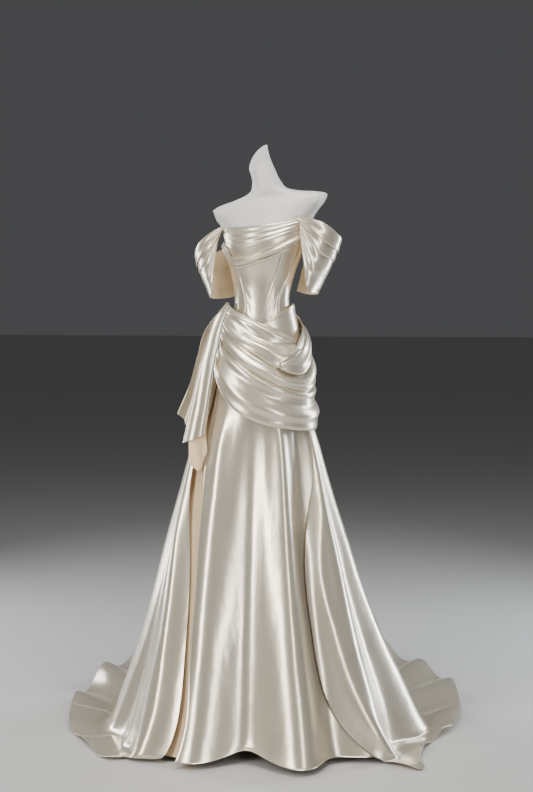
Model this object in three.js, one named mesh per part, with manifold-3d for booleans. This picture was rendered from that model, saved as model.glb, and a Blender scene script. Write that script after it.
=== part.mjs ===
// An off-shoulder evening gown in heavy satin, on a limbless dress form that stands on a pole and a round base.
// Millimetres, +Z up. The origin is the middle of the base's underside, and the form's chest faces -Y.
// "Left" and "right" are the wearer's: left is +X.
import * as THREE from "three";
import { mergeVertices } from "three/addons/utils/BufferGeometryUtils.js";
import Module from "manifold-3d";

const wasm = await Module();
wasm.setup();

// ---------- Driving dimensions ----------
const CLOTH = 2; // thickness of one layer of satin with its backing
const SEAM = 0.3; // gap between two pieces that are sewn edge to edge
const FLOOR_CLEAR = 0.4; // the hem's inner layer stays this far above the floor where it isn't lying on it
const WAIST_SEAM = 1232; // height of the seam that joins bodice and skirt
const BODICE_EASE = 5; // from the form to the outside of the bodice
const SWEEP = 14; // degrees that the skirt and its train are turned to the left, about the pole
const HEM_ROLL = 24; // height over which the skirt's wall turns into the part that lies on the floor

const POLE_RADIUS = 14;
const BASE_RADIUS = 150;
const BASE_THICK = 10;
const FORM_FOOT = 1000; // height of the flat underside of the form

// ---------- Small tools ----------
const rad = (degrees) => (degrees * Math.PI) / 180;
const mix = (a, b, t) => a + (b - a) * t;
const clamp01 = (t) => Math.min(1, Math.max(0, t));
const ease = (from, to, at) => {
  const t = clamp01((at - from) / (to - from));
  return t * t * (3 - 2 * t);
};

// The value of a table's column at a place along its first-named column, on a smooth curve through the rows.
function track(rows, along, column, at) {
  const last = rows.length - 1;
  if (at <= rows[0][along]) return rows[0][column];
  if (at >= rows[last][along]) return rows[last][column];
  let i = 0;
  while (at > rows[i + 1][along]) i++;
  const slope = (a, b) => (rows[b][column] - rows[a][column]) / (rows[b][along] - rows[a][along]);
  const span = rows[i + 1][along] - rows[i][along];
  const here = slope(i, i + 1);
  const before = i > 0 ? mix(slope(i - 1, i), here, 0.5) : here;
  const after = i + 1 < last ? mix(here, slope(i + 1, i + 2), 0.5) : here;
  const t = (at - rows[i][along]) / span;
  const [t2, t3] = [t * t, t * t * t];
  return (
    (2 * t3 - 3 * t2 + 1) * rows[i][column] +
    (t3 - 2 * t2 + t) * span * before +
    (3 * t2 - 2 * t3) * rows[i + 1][column] +
    (t3 - t2) * span * after
  );
}

const steps = (from, to, count) => Array.from({ length: count + 1 }, (_, i) => mix(from, to, i / count));

// A closed wall. surface(u, v) gives its outer face, with u running to the wearer's left past the front and v
// downwards, and the inner face lies one thickness behind it.
function wall(surface, us, vs, thickness = CLOTH) {
  const [nu, nv] = [us.length, vs.length];
  const small = 1e-3;
  const outer = [];
  const inner = [];
  for (const u of us) {
    for (const v of vs) {
      const [du, dv] = [(us[nu - 1] - us[0]) * small, (vs[nv - 1] - vs[0]) * small];
      const p = surface(u, v);
      const across = surface(u + du, v).sub(surface(u - du, v));
      const down = surface(u, v + dv).sub(surface(u, v - dv));
      const normal = down.cross(across).normalize();
      outer.push(p);
      inner.push(p.clone().addScaledVector(normal, -thickness));
    }
  }
  const points = [...outer, ...inner];
  const at = (i, j) => i * nv + j;
  const back = nu * nv;
  const index = [];
  const quad = (a, b, c, d) => index.push(a, b, c, a, c, d);
  for (let i = 0; i < nu - 1; i++) {
    for (let j = 0; j < nv - 1; j++) {
      const [a, b, c, d] = [at(i, j), at(i + 1, j), at(i + 1, j + 1), at(i, j + 1)];
      quad(a, d, c, b);
      quad(a + back, b + back, c + back, d + back);
    }
  }
  for (let i = 0; i < nu - 1; i++) {
    quad(at(i, 0), at(i + 1, 0), at(i + 1, 0) + back, at(i, 0) + back);
    quad(at(i + 1, nv - 1), at(i, nv - 1), at(i, nv - 1) + back, at(i + 1, nv - 1) + back);
  }
  for (let j = 0; j < nv - 1; j++) {
    quad(at(0, j + 1), at(0, j), at(0, j) + back, at(0, j + 1) + back);
    quad(at(nu - 1, j), at(nu - 1, j + 1), at(nu - 1, j + 1) + back, at(nu - 1, j) + back);
  }
  const geometry = new THREE.BufferGeometry().setFromPoints(points);
  geometry.setIndex(index);
  return geometry;
}

const gown = new THREE.Group();
const satin = () => new THREE.MeshStandardMaterial({ color: 0xe9e3d6, roughness: 0.35, metalness: 0 });
const lining = () => new THREE.MeshStandardMaterial({ color: 0xcbb08a, roughness: 0.7, metalness: 0 });
const formCover = () => new THREE.MeshStandardMaterial({ color: 0xf4f2ee, roughness: 0.5, metalness: 0 });
const steel = () => new THREE.MeshStandardMaterial({ color: 0xb9bbbd, roughness: 0.3, metalness: 1 });

function add(name, geometry, material) {
  const mesh = new THREE.Mesh(geometry, material);
  mesh.name = name;
  gown.add(mesh);
}

// ---------- The figure ----------
// Level sections of the form: half its width, and how far its front and back stand from the pole's axis.
const FORM = [
  { z: 1000, half: 112, front: 78, back: 94 },
  { z: 1060, half: 115, front: 80, back: 98 },
  { z: 1140, half: 109, front: 78, back: 92 },
  { z: 1220, half: 97, front: 73, back: 79 },
  { z: 1300, half: 80, front: 66, back: 66 },
  { z: 1335, half: 78, front: 66, back: 64 },
  { z: 1400, half: 91, front: 76, back: 70 },
  { z: 1450, half: 105, front: 95, back: 76 },
  { z: 1490, half: 114, front: 104, back: 80 },
  { z: 1535, half: 128, front: 90, back: 84 },
  { z: 1575, half: 152, front: 70, back: 84 },
  { z: 1602, half: 176, front: 56, back: 76 },
  { z: 1618, half: 180, front: 46, back: 64 },
  { z: 1629, half: 150, front: 40, back: 54 },
  { z: 1638, half: 104, front: 40, back: 48 },
  { z: 1650, half: 64, front: 42, back: 46 },
  { z: 1675, half: 44, front: 41, back: 42 },
  { z: 1720, half: 38, front: 38, back: 38 },
  { z: 1810, half: 37, front: 38, back: 38 },
];

// The form stands with its weight to one side: above the waist it leans left, and the left shoulder is raised.
const LEAN = 20;
const SHOULDER_TILT = 0.13;
const POSE_FROM = 1330;
const POSE_TO = 1600;
const NECK_LEAN = -42; // the neck goes back over the right side
function posed(p, height = p.z) {
  const share = ease(POSE_FROM, POSE_TO, height);
  const neck = ease(1640, 1800, height);
  const raise = SHOULDER_TILT * share * p.x * (1 - neck);
  return new THREE.Vector3(p.x + LEAN * share + NECK_LEAN * neck, p.y, p.z + raise);
}

// A point of the figure at an angle from the front, in degrees towards the left, standing off its surface.
function figure(angle, z, off) {
  const [half, front, back] = ["half", "front", "back"].map((c) => track(FORM, "z", c, z));
  const deep = Math.cos(rad(angle)) > 0 ? front : back;
  return new THREE.Vector3((half + off) * Math.sin(rad(angle)), -(deep + off) * Math.cos(rad(angle)), z);
}

// ---------- Dress form, pole and base ----------
function solidOf(geometry) {
  const plain = geometry.clone().deleteAttribute("normal").deleteAttribute("uv");
  const merged = mergeVertices(plain, 1e-4);
  const made = new wasm.Mesh({
    numProp: 3,
    vertProperties: merged.attributes.position.array,
    triVerts: new Uint32Array(merged.index.array),
  });
  return new wasm.Manifold(made);
}

function geometryOf(solid) {
  const made = solid.getMesh();
  const geometry = new THREE.BufferGeometry();
  geometry.setAttribute("position", new THREE.BufferAttribute(made.vertProperties, 3));
  geometry.setIndex(new THREE.BufferAttribute(made.triVerts, 1));
  return geometry;
}

// A large block whose near face is the plane through a point, so that subtracting it cuts everything beyond.
function beyond(point, normal) {
  const size = 500;
  const block = new THREE.BoxGeometry(size, size, size);
  const turn = new THREE.Quaternion().setFromUnitVectors(new THREE.Vector3(0, 0, 1), normal);
  const middle = normal.clone().multiplyScalar(size / 2).add(point);
  block.applyMatrix4(new THREE.Matrix4().compose(middle, turn, new THREE.Vector3(1, 1, 1)));
  return solidOf(block);
}

function dressForm() {
  const around = 30;
  const heights = [...steps(FORM_FOOT, 1560, 14), ...FORM.filter((r) => r.z > 1560).map((r) => r.z)];
  const points = [];
  for (const z of heights) {
    for (let i = 0; i < around; i++) points.push(figure((360 * i) / around, z, 0));
  }
  const foot = points.push(new THREE.Vector3(0, 0, FORM_FOOT)) - 1;
  const top = points.push(new THREE.Vector3(0, 0, heights[heights.length - 1])) - 1;
  const index = [];
  for (let i = 0; i < around; i++) {
    const next = (i + 1) % around;
    index.push(foot, next, i);
    for (let k = 0; k < heights.length - 1; k++) {
      const [a, b] = [k * around + i, k * around + next];
      index.push(a, b, b + around, a, b + around, a + around);
    }
    const last = (heights.length - 1) * around;
    index.push(last + i, last + next, top);
  }
  const body = new THREE.BufferGeometry().setFromPoints(points);
  const vertProperties = body.attributes.position.array;
  const solid = new wasm.Manifold(new wasm.Mesh({ numProp: 3, vertProperties, triVerts: new Uint32Array(index) }));
  // Each arm is cut off by a plane that faces outwards, a little forwards and a little down.
  const armCut = (side) => {
    const outwards = new THREE.Vector3(side * 0.908, -0.243, -0.342).normalize();
    return beyond(new THREE.Vector3(side * 168, -10, 1612), outwards);
  };
  // The neck is cut on a slant that faces up, forwards and to the right.
  const neckCut = beyond(new THREE.Vector3(0, 0, 1752), new THREE.Vector3(-0.52, -0.5, 0.66).normalize());
  const cut = solid.subtract(armCut(1)).subtract(armCut(-1)).subtract(neckCut);
  const geometry = geometryOf(cut);
  const place = geometry.attributes.position;
  const p = new THREE.Vector3();
  for (let i = 0; i < place.count; i++) {
    const moved = posed(p.fromBufferAttribute(place, i));
    place.setXYZ(i, moved.x, moved.y, moved.z);
  }
  return geometry;
}

add("form_torso", dressForm(), formCover());

const poleTop = FORM_FOOT - SEAM;
const pole = new THREE.CylinderGeometry(POLE_RADIUS, POLE_RADIUS, poleTop - BASE_THICK - SEAM, 20);
pole.rotateX(Math.PI / 2).translate(0, 0, (poleTop + BASE_THICK + SEAM) / 2);
add("form_pole", pole, steel());
const base = new THREE.CylinderGeometry(BASE_RADIUS - 4, BASE_RADIUS, BASE_THICK, 40);
base.rotateX(Math.PI / 2).translate(0, 0, BASE_THICK / 2);
add("form_base", base, steel());

// ---------- Bodice ----------
// Where the seams of the corset run, in degrees from the front: they close in at the waist.
const BODICE_SEAMS = [
  { z: 1232, front: 25, side: 50, back: 106 },
  { z: 1310, front: 22.5, side: 47, back: 104 },
  { z: 1410, front: 36, side: 68, back: 112 },
  { z: 1520, front: 44, side: 76, back: 118 },
];
// The upper edge, hidden at the front by the draped neckline and lower at the middle of the back.
const BODICE_TOP = [
  { angle: 0, z: 1520 },
  { angle: 40, z: 1522 },
  { angle: 70, z: 1506 },
  { angle: 110, z: 1496 },
  { angle: 180, z: 1470 },
];
const BODICE_ROWS = 7;
const STRAIGHT_SEAMS = { middle: 0, end: 180 };
const seamAt = (name, z) => STRAIGHT_SEAMS[name] ?? track(BODICE_SEAMS, "z", name, z);

function bodicePanel(side, near, far, across) {
  const surface = (u, v) => {
    const guess = side * mix(seamAt(near, 1400), seamAt(far, 1400), u);
    const top = track(BODICE_TOP, "angle", "z", Math.abs(guess));
    const z = mix(top, WAIST_SEAM + SEAM, v);
    const half = track(FORM, "z", "half", z) + BODICE_EASE;
    const gap = (SEAM / 2 / half) * (180 / Math.PI) * 1.4;
    const from = seamAt(near, z) + (near === "middle" ? 0 : gap);
    const angle = mix(from, seamAt(far, z) - gap, u);
    return posed(figure(side * angle, z, BODICE_EASE), z);
  };
  // Mirrored panels run the other way round, so that they still face outwards.
  const facing = side > 0 ? surface : (u, v) => surface(1 - u, v);
  return wall(facing, steps(0, 1, across), steps(0, 1, BODICE_ROWS));
}

function bodiceFront() {
  const surface = (u, v) => {
    const z = mix(track(BODICE_TOP, "angle", "z", 40 * Math.abs(u)), WAIST_SEAM + SEAM, v);
    const half = track(FORM, "z", "half", z) + BODICE_EASE;
    const gap = (SEAM / 2 / half) * (180 / Math.PI) * 1.4;
    return posed(figure(u * (seamAt("front", z) - gap), z, BODICE_EASE), z);
  };
  return wall(surface, steps(-1, 1, 8), steps(0, 1, BODICE_ROWS));
}

add("bodice_front", bodiceFront(), satin());
for (const [name, side] of [["left", 1], ["right", -1]]) {
  add("bodice_side_front_" + name, bodicePanel(side, "front", "side", 3), satin());
  add("bodice_side_" + name, bodicePanel(side, "side", "back", 4), satin());
  add("bodice_back_" + name, bodicePanel(side, "back", "end", 5), satin());
}

// ---------- Draped neckline ----------
// Three swags hang between a gather at each side of the bust. The columns are the heights of their shared edges.
const NECKLINE = [
  { angle: -68, neck: 1530, pocket: 1514, lap: 1504, rim: 1494 },
  { angle: -55, neck: 1548, pocket: 1488, lap: 1466, rim: 1446 },
  { angle: -42, neck: 1553, pocket: 1462, lap: 1440, rim: 1425 },
  { angle: -15, neck: 1547, pocket: 1456, lap: 1438, rim: 1425 },
  { angle: 15, neck: 1545, pocket: 1476, lap: 1456, rim: 1439 },
  { angle: 42, neck: 1549, pocket: 1499, lap: 1478, rim: 1458 },
  { angle: 58, neck: 1552, pocket: 1511, lap: 1494, rim: 1474 },
  { angle: 70, neck: 1546, pocket: 1522, lap: 1508, rim: 1488 },
];
// Each swag stands off the figure by one amount at its upper edge and another at its lower, and the middle of
// its upper edge falls open by a third.
const SWAGS = [
  { name: "upper", from: "neck", to: "pocket", reach: -8, rows: 4, offTop: 9, offLow: 9, open: 0 },
  { name: "middle", from: "pocket", to: "lap", reach: -6, rows: 2, offTop: 13, offLow: 22, open: 9 },
  { name: "lower", from: "lap", to: "rim", reach: 0, rows: 2, offTop: 13.5, offLow: 16.5, open: 0 },
];
const BUST = { right: -67, left: 69, deepest: -8 };
const swagSurface = (swag) => (angle, v) => {
  const low = track(NECKLINE, "angle", swag.to, angle) + swag.reach;
  const z = mix(track(NECKLINE, "angle", swag.from, angle), low, v);
  const middle = Math.cos(rad((angle - BUST.deepest) * 1.15)) ** 2;
  const off = mix(swag.offTop, swag.offLow, v) + swag.open * middle * (1 - v) ** 2;
  return posed(figure(angle, z, off), z);
};
for (const swag of SWAGS) {
  const across = steps(BUST.right, BUST.left, 16);
  add("neckline_swag_" + swag.name, wall(swagSurface(swag), across, steps(0, 1, swag.rows)), satin());
}

// ---------- Off-shoulder sleeves ----------
// A wide band leaves the gather at the front, goes round where the arm would be, and returns to the back of the bodice.
// Its upper and lower edges, for the left arm.
const SLEEVE = [
  { s: 0.0, topX: 119, topY: -72, topZ: 1562, lowX: 132, lowY: -64, lowZ: 1522 },
  { s: 0.12, topX: 156, topY: -66, topZ: 1548, lowX: 143, lowY: -70, lowZ: 1440 },
  { s: 0.26, topX: 193, topY: -50, topZ: 1522, lowX: 150, lowY: -64, lowZ: 1352 },
  { s: 0.42, topX: 215, topY: -16, topZ: 1490, lowX: 164, lowY: -24, lowZ: 1342 },
  { s: 0.5, topX: 217, topY: 6, topZ: 1481, lowX: 166, lowY: 2, lowZ: 1339 },
  { s: 0.66, topX: 202, topY: 42, topZ: 1484, lowX: 152, lowY: 38, lowZ: 1337 },
  { s: 0.84, topX: 162, topY: 68, topZ: 1500, lowX: 118, lowY: 56, lowZ: 1340 },
  { s: 1.0, topX: 122, topY: 64, topZ: 1510, lowX: 92, lowY: 52, lowZ: 1350 },
];
const SLEEVE_CARRIED = { top: 1540, low: 1430 }; // the figure's pose at these heights carries the band's two edges
const SLEEVE_BELLY = 7;
// Two pleats are laid over the band's upper part: each ends at this share of its depth, and stands this far out.
const SLEEVE_PLEATS = [
  { name: "pleat_upper", share: 0.24, off: 9 },
  { name: "pleat_lower", share: 0.42, off: 4.5 },
];
function sleevePoint(side, u, v, off) {
  const at = (column) => track(SLEEVE, "s", column, u);
  const p = new THREE.Vector3(
    mix(at("topX"), at("lowX"), v),
    mix(at("topY"), at("lowY"), v),
    mix(at("topZ"), at("lowZ"), v),
  );
  const out = new THREE.Vector3(p.x - 150, p.y, 0).normalize();
  p.addScaledVector(out, SLEEVE_BELLY * Math.sin(Math.PI * v) * Math.sin(Math.PI * u) + off);
  p.x *= side;
  return posed(p, mix(SLEEVE_CARRIED.top, SLEEVE_CARRIED.low, v));
}
function sleeveWall(side, off, share, rows) {
  const surface = (u, v) => sleevePoint(side, side > 0 ? u : 1 - u, v * share, off);
  return wall(surface, steps(0, 1, 14), steps(0, 1, rows));
}
for (const [name, side] of [["left", 1], ["right", -1]]) {
  add("sleeve_" + name + "_band", sleeveWall(side, 0, 1, 4), satin());
  for (const pleat of SLEEVE_PLEATS) {
    add("sleeve_" + name + "_" + pleat.name, sleeveWall(side, pleat.off, pleat.share, 2), satin());
  }
}

// ---------- Skirt ----------
// Level sections of the skirt in its own turned frame: how far it reaches to each side, to the front and to the back.
const SKIRT = [
  { z: 0, left: 470, right: 452, front: 372, back: 600 },
  { z: 150, left: 408, right: 400, front: 330, back: 500 },
  { z: 294, left: 345, right: 356, front: 292, back: 420 },
  { z: 440, left: 291, right: 320, front: 256, back: 352 },
  { z: 585, left: 248, right: 287, front: 220, back: 294 },
  { z: 730, left: 205, right: 250, front: 184, back: 238 },
  { z: 876, left: 168, right: 213, front: 152, back: 188 },
  { z: 940, left: 152, right: 192, front: 140, back: 166 },
  { z: 1000, left: 144, right: 172, front: 131, back: 150 },
  { z: 1100, left: 134, right: 146, front: 118, back: 128 },
  { z: 1160, left: 123, right: 130, front: 107, back: 114 },
  { z: 1232, left: 108, right: 108, front: 87, back: 94 },
  { z: 1290, left: 95, right: 95, front: 80, back: 82 },
  { z: 1330, left: 90, right: 90, front: 76, back: 76 },
];
function skirtSection(angle, z, off = 0) {
  const [s, c] = [Math.sin(rad(angle)), Math.cos(rad(angle))];
  const wide = track(SKIRT, "z", s > 0 ? "left" : "right", z) + off;
  const deep = track(SKIRT, "z", c > 0 ? "front" : "back", z) + off;
  return new THREE.Vector3(wide * s, -deep * c, z);
}
const swept = (p) => p.applyAxisAngle(new THREE.Vector3(0, 0, 1), rad(SWEEP));

// Where the cloth ends on the floor, from the pole's axis, at each angle.
const HEM = [
  { angle: -190, reach: 1250 },
  { angle: -165, reach: 1090 },
  { angle: -150, reach: 950 },
  { angle: -130, reach: 800 },
  { angle: -108, reach: 668 },
  { angle: -85, reach: 570 },
  { angle: -70, reach: 536 },
  { angle: -53, reach: 518 },
  { angle: -44, reach: 470 },
  { angle: -34, reach: 420 },
  { angle: 0, reach: 388 },
  { angle: 36, reach: 480 },
  { angle: 44, reach: 576 },
  { angle: 55, reach: 524 },
  { angle: 75, reach: 522 },
  { angle: 92, reach: 594 },
  { angle: 113, reach: 735 },
  { angle: 135, reach: 880 },
  { angle: 152, reach: 1040 },
  { angle: 170, reach: 1190 },
  { angle: 190, reach: 1255 },
];

// Folds that fall down the skirt: each one's angle at the hip and at the hem, its width in degrees, and how far it
// stands out (or in) where it starts and at the hem.
const FOLDS = [
  { top: -38, hem: -25, width: 9, start: 6, end: 28 },
  { top: -8, hem: -7, width: 11, start: -3, end: -58 },
  { top: 20, hem: 14, width: 9, start: 9, end: 58 },
  { top: 44, hem: 27, width: 8, start: -4, end: -18 },
  { top: 62, hem: 43, width: 9, start: 10, end: 40 },
  { top: 82, hem: 66, width: 11, start: -5, end: -38 },
  { top: 98, hem: 92, width: 11, start: 5, end: 34 },
  { top: 118, hem: 112, width: 10, start: -6, end: -36 },
  { top: 136, hem: 131, width: 11, start: 10, end: 46 },
  { top: 156, hem: 152, width: 11, start: -6, end: -40 },
  { top: 176, hem: 177, width: 12, start: 9, end: 52 },
  { top: 197, hem: 201, width: 11, start: -6, end: -42 },
  { top: 216, hem: 223, width: 11, start: 8, end: 46 },
  { top: 235, hem: 243, width: 10, start: -7, end: -34 },
  { top: 252, hem: 262, width: 10, start: 6, end: 34 },
  { top: 270, hem: 283, width: 11, start: -5, end: -30 },
  { top: 291, hem: 312, width: 9, start: 8, end: 36 },
];
const FOLDS_FROM = 1020;
// The difference between two directions, in degrees, the short way round.
const between = (angle, middle) => angle - middle - 360 * Math.round((angle - middle) / 360);

function foldDepth(angle, z) {
  const down = clamp01((FOLDS_FROM - z) / FOLDS_FROM);
  let depth = 0;
  for (const fold of FOLDS) {
    const t = between(angle, mix(fold.top, fold.hem, down)) / (fold.width * (1 + 0.35 * down));
    depth += mix(fold.start, fold.end, down) * Math.exp(-1.6 * t * t);
  }
  return depth * ease(0, 0.12, down);
}

// The skirt's outer face in its own frame. v runs from 0 at the waist seam to 1 where the wall meets the floor, and on
// to 2 at the hem of what lies there. The height is the logarithm of a sum of exponentials, which rounds the turn.
function skirtPoint(angle, v, off = 0) {
  const straight = (WAIST_SEAM - SEAM) * (1 - Math.min(v, 1)) ** 1.15;
  const beyondWall = Math.max(0, v - 1);
  const height = HEM_ROLL * Math.log(1 + Math.exp((straight - beyondWall * 300) / HEM_ROLL));
  const p = skirtSection(angle, straight, off);
  const outwards = new THREE.Vector3(Math.sin(rad(angle)), -Math.cos(rad(angle)), 0);
  p.addScaledVector(outwards, foldDepth(angle, straight) * (1 - 0.75 * ease(0, 1, beyondWall)));
  const wallReach = Math.hypot(p.x, p.y);
  const hem = Math.max(track(HEM, "angle", "reach", angle > 190 ? angle - 360 : angle), wallReach);
  outwards.copy(p).setZ(0).normalize();
  p.addScaledVector(outwards, (hem - wallReach) * beyondWall);
  p.z = Math.min(height + CLOTH + FLOOR_CLEAR, WAIST_SEAM - SEAM);
  return p;
}

// Ripples of the train: it rises off the floor in flutes that grow towards its hem.
const RIPPLES = [
  { angle: -178, width: 7, rise: 62 },
  { angle: -160, width: 6, rise: 62 },
  { angle: -143, width: 6, rise: 70 },
  { angle: -127, width: 6, rise: 58 },
  { angle: -110, width: 6, rise: 36 },
  { angle: -93, width: 5, rise: 18 },
  { angle: 84, width: 5, rise: 16 },
  { angle: 100, width: 5, rise: 36 },
  { angle: 116, width: 6, rise: 40 },
  { angle: 132, width: 6, rise: 60 },
  { angle: 149, width: 6, rise: 70 },
  { angle: 166, width: 6, rise: 62 },
];
function rippleRise(angle, v) {
  const bumps = RIPPLES.map((ripple) => ripple.rise * Math.exp(-((between(angle, ripple.angle) / ripple.width) ** 2)));
  return ease(1.1, 2, v) * bumps.reduce((sum, bump) => sum + bump, 0);
}

// The edges of the panels, in degrees at each height: the front panel stops at the slit, and runs under the left one.
const SLIT = [
  { v: 0, front: -66, side: -70 },
  { v: 0.3, front: -48, side: -62 },
  { v: 0.51, front: -38, side: -47 },
  { v: 0.7, front: -34, side: -40 },
  { v: 0.86, front: -30, side: -36 },
  { v: 1, front: -31, side: -38 },
  { v: 1.15, front: -31, side: -44 },
  { v: 1.4, front: -31, side: -49 },
  { v: 2, front: -31, side: -53 },
];
const LAP = [
  { v: 0, over: 66, under: 78 },
  { v: 0.26, over: 58, under: 70 },
  { v: 0.49, over: 32, under: 48 },
  { v: 0.66, over: 29, under: 44 },
  { v: 0.78, over: 29, under: 43 },
  { v: 0.86, over: 32, under: 44 },
  { v: 1, over: 41, under: 49 },
  { v: 1.3, over: 43, under: 49 },
  { v: 2, over: 44, under: 49 },
];
const SIDE_SEAM = { left: 104, back: 180, right: 256 };
const SEAM_ANGLE = 0.06; // half the gap at a seam, in degrees at the waist
const WALL_ROWS = [0, 0.08, 0.16, 0.26, 0.38, 0.5, 0.62, 0.74, 0.86, 0.94, 1];
const TRAIN_ROWS = [...WALL_ROWS, 1.15, 1.4, 1.7, 2];
const OVERLAY = 2; // the panels with the train stand this far outside the front panel
const TUCK = { top: 7, low: 16 }; // the front panel's left part passes this far under the side panel
const EDGE_ROLL = 12; // the free edges turn in by this much
const ROLLED_SHARE = 0.14; // of a panel's width

function frontPanel(u, v) {
  const angle = mix(track(SLIT, "v", "front", v), track(LAP, "v", "under", v), u);
  const tuck = ease(0.45, 0.75, u) * (TUCK.top + TUCK.low * ease(0.15, 0.35, v));
  return swept(skirtPoint(angle, v, -tuck));
}
add("skirt_front", wall(frontPanel, steps(0, 1, 20), WALL_ROWS), satin());

// A panel between two edges. rolled names the end where its free edge turns in, if it has one.
const trainPanel = (fromAngle, toAngle, rolled) => (u, v) => {
  const angle = mix(fromAngle(v), toAngle(v), u);
  const p = skirtPoint(angle, v, OVERLAY);
  p.z += rippleRise(angle, v);
  const inwards = new THREE.Vector3(-p.x, -p.y, 0).normalize();
  const fromEdge = rolled === "start" ? u : rolled === "end" ? 1 - u : 1;
  const near = clamp01(1 - fromEdge / ROLLED_SHARE);
  return swept(p.addScaledVector(inwards, EDGE_ROLL * near * near * ease(0.2, 0.5, v) * ease(1.6, 1.1, v)));
};
const seamLine = (angle) => () => angle;
const PANELS = [
  { name: "side_left", from: (v) => track(LAP, "v", "over", v), to: seamLine(SIDE_SEAM.left - SEAM_ANGLE),
    across: 11, rolled: "start" },
  { name: "back_left", from: seamLine(SIDE_SEAM.left + SEAM_ANGLE), to: seamLine(SIDE_SEAM.back - SEAM_ANGLE),
    across: 12 },
  { name: "back_right", from: seamLine(SIDE_SEAM.back + SEAM_ANGLE), to: seamLine(SIDE_SEAM.right - SEAM_ANGLE),
    across: 12 },
  { name: "side_right", from: seamLine(SIDE_SEAM.right + SEAM_ANGLE), to: (v) => 360 + track(SLIT, "v", "side", v),
    across: 10, rolled: "end" },
];
for (const panel of PANELS) {
  const surface = trainPanel(panel.from, panel.to, panel.rolled);
  add("skirt_" + panel.name, wall(surface, steps(0, 1, panel.across), TRAIN_ROWS), satin());
}

// The strip of lining that shows in the slit hangs inside both edges.
const LINING = { rightAtTop: -84, rightAtHem: -60, left: -24, top: 1120, hem: 14, inAtTop: 12, inAtHem: 26 };
function liningPoint(u, v) {
  const z = mix(LINING.top, LINING.hem, v);
  const inside = mix(LINING.inAtTop, LINING.inAtHem, ease(0.1, 0.75, v));
  const right = mix(LINING.rightAtTop, LINING.rightAtHem, v);
  return swept(skirtSection(mix(right, LINING.left, u), z, -inside));
}
add("skirt_lining", wall(liningPoint, steps(0, 1, 7), steps(0, 1, 7)), lining());

// ---------- Draped hip ----------
// The drape is gathered into a seam on the right hip, and its swags fall across the front and rise again behind the
// left hip. Each row gives a swag's two edges at an angle round the skirt, and how far they stand off the skirt.
const DRAPE = {
  lower: [
    { angle: -72, top: 1244, low: 1126, offTop: 8, offLow: 14 },
    { angle: -50, top: 1212, low: 1064, offTop: 8, offLow: 17 },
    { angle: -24, top: 1172, low: 996, offTop: 8, offLow: 17 },
    { angle: 0, top: 1126, low: 962, offTop: 8, offLow: 17 },
    { angle: 30, top: 1091, low: 945, offTop: 8, offLow: 17 },
    { angle: 60, top: 1083, low: 937, offTop: 8, offLow: 17 },
    { angle: 90, top: 1108, low: 937, offTop: 8, offLow: 17 },
    { angle: 112, top: 1150, low: 941, offTop: 8, offLow: 17 },
    { angle: 140, top: 1206, low: 948, offTop: 8, offLow: 17 },
    { angle: 175, top: 1258, low: 968, offTop: 8, offLow: 17 },
    { angle: 225, top: 1296, low: 1020, offTop: 8, offLow: 17 },
    { angle: 286, top: 1300, low: 1122, offTop: 8, offLow: 14 },
  ],
  middle: [
    { angle: -72, top: 1282, low: 1218, offTop: 14, offLow: 20 },
    { angle: -50, top: 1254, low: 1188, offTop: 14, offLow: 27 },
    { angle: -31, top: 1226, low: 1156, offTop: 14, offLow: 27 },
    { angle: -3, top: 1182, low: 1103, offTop: 14, offLow: 27 },
    { angle: 30, top: 1136, low: 1065, offTop: 14, offLow: 27 },
    { angle: 57, top: 1146, low: 1056, offTop: 14, offLow: 27 },
    { angle: 75, top: 1186, low: 1064, offTop: 14, offLow: 27 },
    { angle: 90, top: 1219, low: 1082, offTop: 14, offLow: 27 },
    { angle: 112, top: 1252, low: 1124, offTop: 14, offLow: 26 },
    { angle: 140, top: 1284, low: 1180, offTop: 14, offLow: 24 },
    { angle: 175, top: 1298, low: 1232, offTop: 14, offLow: 20 },
    { angle: 200, top: 1298, low: 1258, offTop: 14, offLow: 16 },
  ],
  upper: [
    { angle: -72, top: 1314, low: 1256, offTop: 13, offLow: 24 },
    { angle: -50, top: 1297, low: 1228, offTop: 13, offLow: 31 },
    { angle: -31, top: 1283, low: 1200, offTop: 13, offLow: 31 },
    { angle: -3, top: 1258, low: 1156, offTop: 13, offLow: 31 },
    { angle: 19, top: 1243, low: 1124, offTop: 13, offLow: 32 },
    { angle: 32, top: 1230, low: 1136, offTop: 13, offLow: 32 },
    { angle: 47, top: 1212, low: 1166, offTop: 14, offLow: 30 },
  ],
  cross: [
    { angle: 19, top: 1146, low: 1123, offTop: 42, offLow: 40 },
    { angle: 30, top: 1168, low: 1110, offTop: 41, offLow: 40 },
    { angle: 43, top: 1191, low: 1105, offTop: 40, offLow: 38 },
    { angle: 54, top: 1212, low: 1114, offTop: 38, offLow: 36 },
    { angle: 66, top: 1230, low: 1138, offTop: 33, offLow: 35 },
    { angle: 80, top: 1248, low: 1172, offTop: 26, offLow: 33 },
    { angle: 100, top: 1272, low: 1214, offTop: 20, offLow: 29 },
    { angle: 130, top: 1296, low: 1252, offTop: 21, offLow: 27 },
    { angle: 158, top: 1304, low: 1272, offTop: 21, offLow: 24 },
  ],
  yoke: [
    { angle: -6, top: 1248, low: 1238, offTop: 6, offLow: 6 },
    { angle: 5, top: 1260, low: 1232, offTop: 6, offLow: 6 },
    { angle: 28, top: 1286, low: 1214, offTop: 6, offLow: 6 },
    { angle: 50, top: 1300, low: 1192, offTop: 6, offLow: 6 },
    { angle: 72, top: 1312, low: 1212, offTop: 6, offLow: 6 },
    { angle: 110, top: 1316, low: 1240, offTop: 6, offLow: 6 },
  ],
};
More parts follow.
